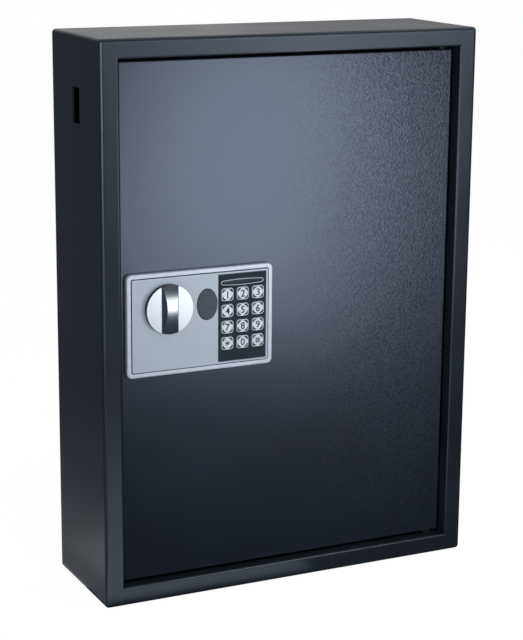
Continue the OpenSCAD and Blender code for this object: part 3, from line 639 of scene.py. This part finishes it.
def makeOvalCover():
    lo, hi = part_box("override_cover")
    centre, half = (lo + hi) / 2, (hi - lo) / 2
    c = coverForm
    steps = [(1.0, hi.y), (1.0, lo.y + (c["edge"] + c["crown"]) * mm)]  # share of the oval, and y
    for i in range(1, c["edgeSteps"] + 1):
        t = i / c["edgeSteps"] * math.pi / 2
        steps.append((1 - c["edge"] * mm / half.x * (1 - math.cos(t)),
                      lo.y + (c["crown"] + c["edge"] * (1 - math.sin(t))) * mm))
    edgeShare = steps[-1][0]
    for i in range(1, c["crownSteps"]):
        t = i / c["crownSteps"]
        steps.append((edgeShare * (1 - t), lo.y + c["crown"] * mm * (1 - t) ** 2))
    loops = [[(centre.x + s * half.x * across, y, centre.z + s * half.z * up)
              for across, up in unitCircle(c["points"])] for s, y in steps]
    shape = bmesh.new()
    skinLoops(shape, loops)
    addPiece("oval_cover", shape, ["coverGrey"], "cover", ("override_cover",), c["smoothAngle"])


makeOvalCover()
print("cover made")


# indicator window and the silver bead round it
windowForm = {
    "bow": 0.8, "beadRadius": 0.32, "beadGap": 0.1,  # mm
    "shoulder": [(0.0, 0.35), (0.12, 0.12), (0.5, 0.0)],  # inset and depth, mm
    "endPoints": 12, "sidePoints": 24, "beadSides": 10, "smoothAngle": 40,  # counts, degrees
}


def bowedOutline(width, height, bow):
    # long edges bow out; the ends are round
    reach = (width - height) / 2
    r = (reach * reach + bow * bow) / (2 * bow)
    half = height / 2
    points = []
    for i in range(windowForm["sidePoints"] + 1):
        x = reach - 2 * reach * i / windowForm["sidePoints"]
        points.append((x, half - r + math.sqrt(r * r - x * x)))
    endHalf = points[-1][1]
    for i in range(1, windowForm["endPoints"]):
        t = math.pi / 2 + math.pi * i / windowForm["endPoints"]
        points.append((-reach + endHalf * math.cos(t), endHalf * math.sin(t)))
    return points + [(-x, -y) for x, y in points]


def makeWindow():
    w = windowForm
    lo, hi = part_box("indicator_lens")
    centre = (lo + hi) / 2
    width, height = (hi.x - lo.x) / mm, (hi.z - lo.z) / mm

    def outlineAt(spread, y):
        outline = bowedOutline(width + 2 * spread, height + 2 * spread, w["bow"])
        return [(centre.x + x * mm, y, centre.z + z * mm) for x, z in outline]

    loops = [outlineAt(0.0, hi.y)]
    for inset, depth in w["shoulder"]:
        loops.append(outlineAt(-inset, lo.y + depth * mm))
    shape = bmesh.new()
    skinLoops(shape, loops)
    addPiece("indicator_window", shape, ["smokedWindow"], "door", ("indicator_lens",),
             w["smoothAngle"])
    return outlineAt(w["beadGap"], padFront)


windowPath = makeWindow()


def makeTree(name, sockets):
    tree = bpy.data.node_groups.new(name, "GeometryNodeTree")
    tree.interface.new_socket("Geometry", in_out="INPUT", socket_type="NodeSocketGeometry")
    for label, kind in sockets:
        tree.interface.new_socket(label, in_out="INPUT", socket_type=kind)
    tree.interface.new_socket("Geometry", in_out="OUTPUT", socket_type="NodeSocketGeometry")
    return tree, addNode(tree, "NodeGroupInput").outputs


def bakeTree(name, mesh, tree, values):
    # runs the tree on a carrier mesh and returns the plain mesh it makes
    carrier = bpy.data.objects.new(name, mesh)
    scene.collection.objects.link(carrier)
    modifier = carrier.modifiers.new("nodes", "NODES")
    modifier.node_group = tree
    for item in tree.interface.items_tree:
        if item.in_out == "INPUT" and item.name in values:
            modifier[item.identifier] = values[item.name]
    view = bpy.context.evaluated_depsgraph_get()
    made = bpy.data.meshes.new_from_object(carrier.evaluated_get(view))
    carrier.modifiers.remove(modifier)
    bpy.data.objects.remove(carrier)
    return made


# a round bead that follows a closed path
beadTree, given = makeTree("beadAlongPath", [
    ("Bead Radius", "NodeSocketFloat"), ("Finish", "NodeSocketMaterial")])
path = addNode(beadTree, "GeometryNodeMeshToCurve", {}, {"Mesh": given["Geometry"]})
ring = addNode(beadTree, "GeometryNodeCurvePrimitiveCircle", {}, {
    "Resolution": windowForm["beadSides"], "Radius": given["Bead Radius"]})
swept = addNode(beadTree, "GeometryNodeCurveToMesh", {}, {
    "Curve": path.outputs[0], "Profile Curve": ring.outputs[0]})
smooth = addNode(beadTree, "GeometryNodeSetShadeSmooth", {}, {"Geometry": swept.outputs[0]})
real = addNode(beadTree, "GeometryNodeRealizeInstances", {}, {"Geometry": smooth.outputs[0]})
painted = addNode(beadTree, "GeometryNodeSetMaterial", {}, {
    "Geometry": real.outputs[0], "Material": given["Finish"]})
addNode(beadTree, "NodeGroupOutput", {}, {"Geometry": painted.outputs[0]})

windowLoop = bpy.data.meshes.new("windowLoop")
count = len(windowPath)
windowLoop.from_pydata(windowPath, [(i, (i + 1) % count) for i in range(count)], [])
bead = bakeTree("windowLoop", windowLoop, beadTree, {
    "Bead Radius": windowForm["beadRadius"] * mm, "Finish": finishes["silverLineAndBorderHighlight"]})
addMesh("window_bead", bead, ["silverLineAndBorderHighlight"], "door")
print("indicator made")


# screws and rivets: one template set on each seat
screwForm = {
    "diameter": 5.6, "rise": 2.0,  # mm; what follows is in shares of the diameter
    "profile": [(0.5, 0.0), (0.5, 0.12), (0.47, 0.22), (0.40, 0.31), (0.31, 0.357)],  # radius, height
    "crossReach": 0.29, "crossHalf": 0.055, "pitHeight": 0.16, "pitTaper": 0.75,
    "sides": 24, "smoothAngle": 30,  # count, degrees
}
rivetForm = {
    "diameter": 6.0, "rise": 1.0,
    "profile": [(0.5, 0.0), (0.5, 0.03), (0.45, 0.09), (0.34, 0.135), (0.18, 0.16), (0.05, 0.1667)],
    "sides": 20, "smoothAngle": 50,
}


def islandBoxes(node):
    # the box round each loose part of a CAD node
    shape = weldedCopy(node)
    boxes, seen = [], set()
    for start in shape.verts:
        if start in seen:
            continue
        group, todo = [], [start]
        seen.add(start)
        while todo:
            v = todo.pop()
            group.append(v.co.copy())
            for e in v.link_edges:
                other = e.other_vert(v)
                if other not in seen:
                    seen.add(other)
                    todo.append(other)
        boxes.append((Vector(map(min, *group)), Vector(map(max, *group))))
    shape.free()
    return boxes


def headLoops(form):
    return [[(r * across, h, r * up) for across, up in unitCircle(form["sides"])] for r, h in form["profile"]]


def cutCross(shape, rim, form):
    # fills the head's top up to its rim, round a cross recess
    reach, half, taper = form["crossReach"], form["crossHalf"], form["pitTaper"]
    arm, cross = [(reach, half), (half, half), (half, reach)], []
    for quarter in range(4):  # each arm a quarter turn on from the last
        cross += arm
        arm = [(-z, x) for x, z in arm]
    mouth = [shape.verts.new((x, rim[0].co.y, z)) for x, z in cross]
    pit = [shape.verts.new((x * taper, form["pitHeight"], z * taper)) for x, z in cross]
    for i in range(len(cross)):
        j = (i + 1) % len(cross)
        shape.faces.new((mouth[i], mouth[j], pit[j], pit[i]))
    shape.faces.new(pit)
    border = [shape.edges.get((ring[i], ring[(i + 1) % len(ring)]))
              for ring in (rim, mouth) for i in range(len(ring))]
    bmesh.ops.triangle_fill(shape, edges=border, use_beauty=True)
    overPit = []
    for face in shape.faces:
        mid = face.calc_center_median()
        near, far = sorted((abs(mid.x), abs(mid.z)))
        if len(face.verts) == 3 and far < reach and near < half:
            overPit.append(face)
    bmesh.ops.delete(shape, geom=overPit, context="FACES_ONLY")


def addTemplate(name, form):
    # a head of unit diameter, face along +Y
    shape = bmesh.new()
    crossed = "crossReach" in form
    rings = skinLoops(shape, headLoops(form), closed=not crossed)
    if crossed:
        cutCross(shape, rings[-1], form)
    template = bpy.data.objects.new(name, toMesh(name, shape, form["smoothAngle"]))
    scene.collection.objects.link(template)
    return template


# sets a template on every point of the carrier, turned at random about its own axis
fastenerTree, given = makeTree("fastenersOnSeats", [
    ("Template", "NodeSocketObject"), ("Head Diameter", "NodeSocketFloat"), ("Flip", "NodeSocketFloat"),
    ("Finish", "NodeSocketMaterial")])
info = addNode(fastenerTree, "GeometryNodeObjectInfo", {}, {"Object": given["Template"]})
twist = addNode(fastenerTree, "FunctionNodeRandomValue", {"data_type": "FLOAT"}, {
    2: 0.0, 3: math.pi / 2, "Seed": 7})
turn = addNode(fastenerTree, "ShaderNodeCombineXYZ", {}, {
    "X": given["Flip"], "Y": twist.outputs[1]})
placed = addNode(fastenerTree, "GeometryNodeInstanceOnPoints", {}, {
    "Points": given["Geometry"], "Instance": info.outputs["Geometry"], "Rotation": turn.outputs[0],
    "Scale": given["Head Diameter"]})
real = addNode(fastenerTree, "GeometryNodeRealizeInstances", {}, {"Geometry": placed.outputs[0]})
painted = addNode(fastenerTree, "GeometryNodeSetMaterial", {}, {
    "Geometry": real.outputs[0], "Material": given["Finish"]})
addNode(fastenerTree, "NodeGroupOutput", {}, {"Geometry": painted.outputs[0]})


def setFasteners(name, node, template, form, facesWall):
    # a head on the end of each CAD shank: toward the wall, or toward the door
    spots = []
    for lo, hi in islandBoxes(node):
        y = hi.y - form["rise"] * mm if facesWall else lo.y + form["rise"] * mm
        spots.append(((lo.x + hi.x) / 2, y, (lo.z + hi.z) / 2))
    seats = bpy.data.meshes.new(name + "_seats")
    seats.from_pydata(spots, [], [])
    made = bakeTree(name + "_seats", seats, fastenerTree, {
        "Template": template, "Head Diameter": form["diameter"] * mm,
        "Flip": 0.0 if facesWall else math.pi, "Finish": finishes["zincPlate"]})
    addMesh(name, made, ["zincPlate"], bodyOfNode[node], (node,))


screw, rivet = addTemplate("screwTemplate", screwForm), addTemplate("rivetTemplate", rivetForm)
setFasteners("case_screw_heads", "cover_screws", screw, screwForm, facesWall=True)
setFasteners("panel_screw_heads", "bezel_screws", screw, screwForm, facesWall=True)
setFasteners("rail_rivet_heads", "rail_rivets", rivet, rivetForm, facesWall=False)
for template in (screw, rivet):
    bpy.data.objects.remove(template)
print("fasteners made")


# lock case, hatch, button, bolts: moulded and turned edges eased
caseEdges = {
    "case": (1.6, 4), "hatch": (0.5, 3), "button": (0.9, 4), "boltTip": (1.2, 3),
    "plate": (0.4, 2),  # width in mm and segments
    "leastLength": 2,  # mm: shorter edges of the strike and the brackets stay sharp
}
caseLow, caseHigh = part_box("lock_cover")


def onCaseOutside(edge):
    sides = ((0, (caseHigh.x,)), (1, (caseHigh.y,)), (2, (caseLow.z, caseHigh.z)))
    return sum(any(onPlane(edge, axis, end) for end in ends) for axis, ends in sides) > 1


def onPlateEdge(edge):
    return edge.is_convex and edge.calc_length() > caseEdges["leastLength"] * mm


easedCopy("lock_cover", [(caseEdges["case"], onCaseOutside)])
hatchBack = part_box("battery_cover")[1].y
easedCopy("battery_cover", [(caseEdges["hatch"], lambda e: atY(e, hatchBack))])
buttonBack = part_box("reset_button")[1].y
easedCopy("reset_button", [(caseEdges["button"], lambda e: atY(e, buttonBack))])
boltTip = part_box("locking_bolts")[0].x
easedCopy("locking_bolts", [(caseEdges["boltTip"], lambda e: onPlane(e, 0, boltTip))])
for node in ("strike_plate", "upper_hinge_bracket", "lower_hinge_bracket"):
    easedCopy(node, [(caseEdges["plate"], onPlateEdge)])
print("lock case made")


# floor, backdrop and lights
studio = {
    "floorColour": "#f4f4f3", "floorHalf": 6, "floorGlow": 0.80, "floorLevel": 1.16, "world": 0.32,
    "darkCard": "#353d47", "sideCard": "#4d5763", "baseCard": "#a8aeb6", "backCard": "#cecfd1",
    "cardLift": (0.2, 0.3),  # mm over the floor, for the cards that lie on it
}


def whiteToCamera(tree):
    # 1 for rays from the camera, mirrors and clear things; 0 for the light that falls on the object
    rays = addNode(tree, "ShaderNodeLightPath").outputs
    first = addNode(tree, "ShaderNodeMath", {"operation": "MAXIMUM"}, {
        0: rays["Is Camera Ray"], 1: rays["Is Glossy Ray"]})
    return addNode(tree, "ShaderNodeMath", {"operation": "MAXIMUM"}, {
        0: first.outputs[0], 1: rays["Is Transmission Ray"]}).outputs[0]


world = bpy.data.worlds.new("studio")
scene.world = world
tree = emptyTree(world)
strength = addNode(tree, "ShaderNodeMapRange", {}, {
    "Value": whiteToCamera(tree), "To Min": studio["world"], "To Max": 1.0})
sky = addNode(tree, "ShaderNodeBackground", {}, {"Color": (1, 1, 1, 1), "Strength": strength.outputs[0]})
addNode(tree, "ShaderNodeOutputWorld", {}, {"Surface": sky.outputs[0]})

floorPaint = bpy.data.materials.new("paleFloor")
tree = emptyTree(floorPaint)
matt = addNode(tree, "ShaderNodeBsdfDiffuse", {}, {"Color": toLinear(studio["floorColour"])})
glow = addNode(tree, "ShaderNodeEmission", {}, {"Color": (1, 1, 1, 1), "Strength": studio["floorLevel"]})
share = addNode(tree, "ShaderNodeMath", {"operation": "MULTIPLY"}, {
    0: whiteToCamera(tree), 1: studio["floorGlow"]})
both = addNode(tree, "ShaderNodeMixShader", {}, {0: share.outputs[0], 1: matt.outputs[0], 2: glow.outputs[0]})
addNode(tree, "ShaderNodeOutputMaterial", {}, {"Surface": both.outputs[0]})


def addCard(name, corners, material):
    mesh = bpy.data.meshes.new(name)
    mesh.from_pydata(corners, [], [tuple(range(len(corners)))])
    mesh.materials.append(material)
    card = bpy.data.objects.new(name, mesh)
    scene.collection.objects.link(card)
    return card


def levelCorners(xs, ys, z):
    return [(xs[0], ys[0], z), (xs[1], ys[0], z), (xs[1], ys[1], z), (xs[0], ys[1], z)]


def uprightCorners(start, end, foot, head):
    return [(*start, foot), (*end, foot), (*end, head), (*start, head)]


floorZ = cadLow.z
floorSpan = (-studio["floorHalf"], studio["floorHalf"])
addCard("floor", levelCorners(floorSpan, floorSpan, floorZ), floorPaint)

# cards, seen only in reflections: they give the satin and the chrome something dark to mirror
low, above = [floorZ + lift * mm for lift in studio["cardLift"]]
cards = {
    "frontCard": ("darkCard", levelCorners((-1.0, 1.4), (-0.06, -1.45), low)),
    "farCard": ("darkCard", uprightCorners((-1.0, -1.45), (1.4, -1.45), low, 1.1)),
    "overCard": ("darkCard", [(-1.0, -1.45, 1.1), (1.4, -1.45, 1.1), (1.4, -0.4, 1.4), (-1.0, -0.4, 1.4)]),
    "rightCard": ("darkCard", uprightCorners((1.4, -1.45), (1.4, 1.0), low, 1.2)),
    "rightFloorCard": ("darkCard", levelCorners((0.15, 1.4), (-0.06, 1.0), low)),
    "leftCard": ("sideCard", uprightCorners((-1.0, -1.45), (-1.0, 2.0), low, 1.1)),
    "leftFloorCard": ("sideCard", levelCorners((-0.42, -1.0), (-0.06, 2.0), low)),
    "cornerCard": ("sideCard", levelCorners((-0.275, -0.42), (0.06, 0.8), low)),
    "wallCard": ("baseCard", levelCorners((-0.215, -0.275), (0.06, 0.8), low)),
    "baseCard": ("baseCard", levelCorners((-0.185, -0.22), (-0.17, 0.3), above)),
    "sideCard": ("sideCard", [(-0.22, 0.35, low), (-1.0, 2.0, low), (-1.0, 2.0, 0.9), (-0.22, 0.35, 0.6)]),
    "backCard": ("backCard", uprightCorners((0.95, 2.0), (3.4, 1.4), 0.2, 1.8)),
}
cardFelt = {}
for shade in ("darkCard", "sideCard", "baseCard", "backCard"):
    cardFelt[shade] = bpy.data.materials.new(shade)
    tree = emptyTree(cardFelt[shade])
    glow = addNode(tree, "ShaderNodeEmission", {}, {"Color": toLinear(studio[shade])})
    addNode(tree, "ShaderNodeOutputMaterial", {}, {"Surface": glow.outputs[0]})
for name, (shade, corners) in cards.items():
    card = addCard(name, corners, cardFelt[shade])
    card.visible_camera = False
    card.visible_diffuse = False
    card.visible_shadow = False
    card.visible_transmission = False


# softboxes: where each stands, what it looks at, its width and height, its radiance and what it may do.
# "gloss" draws sheen alone and "colour" lights colour alone, so the door's sheen doesn't wash out the panel;
# "frame" falls on the cabinet's folded frame alone, "knob" on the knob alone, "rest" on all but those
softboxes = {
    "key": {"place": (0.358, -0.92, 0.004), "aim": (0.358, 0.0, 0.004), "size": (0.406, 0.456), "roll": -13.7,
            "radiance": 6.2, "gives": "gloss", "on": "rest"},
    "front": {"place": (-0.7, -2.5, 0.7), "aim": (0.0, -0.1, 0.0), "size": (2.4, 1.8),
              "radiance": 3.1, "gives": "colour"},
    "top": {"place": (0.7, -0.5, 1.4), "aim": (0.0, -0.1, 0.0), "size": (1.0, 0.5), "radiance": 2.5},
    "frameTop": {"place": (0.42, -0.92, 0.33), "aim": (0.0, -0.11, 0.25), "size": (0.4, 0.3),
                 "radiance": 13.0, "gives": "gloss", "on": "frame"},
    "frameFoot": {"place": (-0.1, -0.3, floorZ + 2 * mm), "aim": (-0.1, -0.3, 1.0), "size": (0.25, 0.35),
                  "radiance": 2.0, "gives": "gloss", "on": "frame"},
    "leftEdge": {"place": (-0.95, -0.95, 0.2), "aim": (0.0, -0.11, 0.2), "size": (0.14, 0.4),
                 "radiance": 80.0, "gives": "gloss", "on": "frame"},
    "rightEdge": {"place": (0.15, -0.32, 0.07), "aim": (-0.17, -0.11, 0.07), "size": (0.08, 0.18),
                  "radiance": 14.0, "gives": "gloss", "on": "frame"},
}
# the chrome mirrors the same softbox as the door, turned down so that it keeps its shades
softboxes["knobKey"] = dict(softboxes["key"], radiance=3.75, on="knob")


def receivers(name, state, pieces):
    group = bpy.data.collections.new(name)
    for piece in pieces:
        group.objects.link(piece)
    for linked in group.collection_objects:
        linked.light_linking.link_state = state
    return group


lightGroups = {
    "frame": receivers("frameAlone", "INCLUDE", [nodes["cabinet_shell"]]),
    "knob": receivers("knobAlone", "INCLUDE", [knob]),
    "rest": receivers("allButThese", "EXCLUDE", [nodes["cabinet_shell"], knob]),
}


def addSoftbox(name, box):
    place, (width, height) = Vector(box["place"]), box["size"]
    data = bpy.data.lights.new(name + "Softbox", "AREA")
    data.shape = "RECTANGLE"
    data.size, data.size_y = width, height
    data.energy = box["radiance"] * math.pi * width * height
    lamp = bpy.data.objects.new(name + "Softbox", data)
    scene.collection.objects.link(lamp)
    lamp.location = place
    lamp.rotation_mode = "QUATERNION"
    turn = Quaternion((0, 0, 1), math.radians(box.get("roll", 0.0)))
    lamp.rotation_quaternion = (Vector(box["aim"]) - place).to_track_quat("-Z", "Y") @ turn
    lamp.visible_camera = False
    lamp.visible_diffuse = box.get("gives") != "gloss"
    lamp.visible_glossy = box.get("gives") != "colour"
    if "on" in box:
        lamp.light_linking.receiver_collection = lightGroups[box["on"]]


for name, box in softboxes.items():
    addSoftbox(name, box)
print("studio set")
